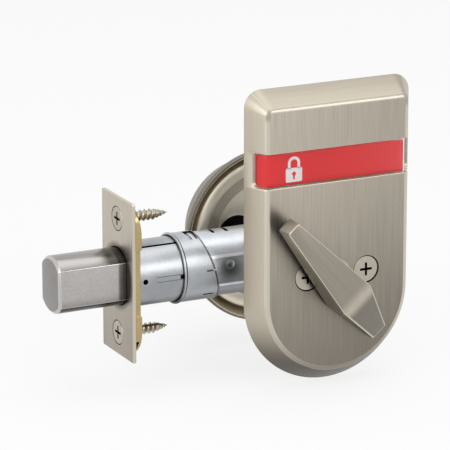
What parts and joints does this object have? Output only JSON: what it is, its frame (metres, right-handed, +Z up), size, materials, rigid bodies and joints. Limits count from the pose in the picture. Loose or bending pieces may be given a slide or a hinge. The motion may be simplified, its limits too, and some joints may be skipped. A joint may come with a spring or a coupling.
{
  "type": "deadbolt",
  "caption": "Deadbolt with a drafted room-side cover, a wraparound status window, a faceted thumbturn, a tubular bolt case and a round outer trim ring.",
  "frame": {"origin": "where the bolt's axis crosses the spindle's axis, midway through the door", "axes": "-X is the way the bolt shoots, -Y points into the room (thumbturn side), +Z is up"},
  "size_m": [0.1276, 0.0889, 0.1078],
  "materials": {
    "satin_nickel": "vertical brushed satin nickel",
    "bolt_steel": "ground steel",
    "hard_steel": "plain",
    "chrome_plate": "bright plated",
    "zinc_plate": "zinc plated",
    "screw_steel": "bright plated",
    "brass": "plain",
    "black_metal": "matt black",
    "clear_plastic": "clear, polished",
    "flag_plastic": "red",
    "guide_plastic": "moulded"
  },
  "bodies": {
    "lock_case": {"faceplate": "satin_nickel", "backing_plate": "brass", "faceplate_screws": "zinc_plate", "front_tube": "chrome_plate", "adjusting_collar": "chrome_plate", "rear_housing": "chrome_plate", "rose": "satin_nickel", "rose_liner": "satin_nickel", "cylinder_body": "black_metal", "mounting_posts": "black_metal", "mounting_screws": "screw_steel", "escutcheon": "satin_nickel", "window_lens": "clear_plastic", "flag_guide": "guide_plastic", "inner_plate": "zinc_plate", "turn_bushing": "guide_plastic"},
    "thumbturn": {"thumbturn": "satin_nickel", "turn_spindle": "zinc_plate", "spindle_clip": "hard_steel", "lift_arm": "zinc_plate"},
    "drive_cam": {"drive_cam": "zinc_plate", "crank_pin": "hard_steel"},
    "tailpiece": {"tailpiece": "zinc_plate"},
    "bolt": {"deadbolt": "bolt_steel", "anti_saw_pin": "hard_steel", "bolt_tail": "zinc_plate", "tail_pin": "hard_steel"},
    "status_flag": {"status_flag": "flag_plastic"},
    "key_plug": {"key_plug": "brass", "plug_cap": "brass"}
  },
  "joints": [
    {"name": "thumbturn_turn", "type": "hinge", "parent": "lock_case", "child": "thumbturn", "pos_m": [0, 0, 0], "axis": [0, 1, 0], "range_deg": [0, 90]},
    {"name": "cam_turn", "type": "hinge", "parent": "lock_case", "child": "drive_cam", "pos_m": [0, 0, 0], "axis": [0, 1, 0], "range_deg": [0, 90]},
    {"name": "tailpiece_turn", "type": "hinge", "parent": "lock_case", "child": "tailpiece", "pos_m": [0, 0, 0], "axis": [0, 1, 0], "range_deg": [0, 90]},
    {"name": "bolt_slide", "type": "slide", "parent": "lock_case", "child": "bolt", "axis": [1, 0, 0], "range_m": [0, 0.0254]},
    {"name": "flag_slide", "type": "slide", "parent": "lock_case", "child": "status_flag", "axis": [0, 0, 1], "range_m": [0, 0.0121]},
    {"name": "key_turn", "type": "hinge", "parent": "lock_case", "child": "key_plug", "pos_m": [0, 0.035, 0], "axis": [0, 1, 0], "range_deg": [-90, 90]}
  ],
  "couplings": [
    {"joint": "cam_turn", "follows": "thumbturn_turn", "ratio": 1},
    {"joint": "tailpiece_turn", "follows": "thumbturn_turn", "ratio": 1},
    {"joint": "bolt_slide", "follows": "thumbturn_turn", "m_per_rad": 0.01617},
    {"joint": "flag_slide", "follows": "thumbturn_turn", "m_per_rad": 0.007703}
  ]
}
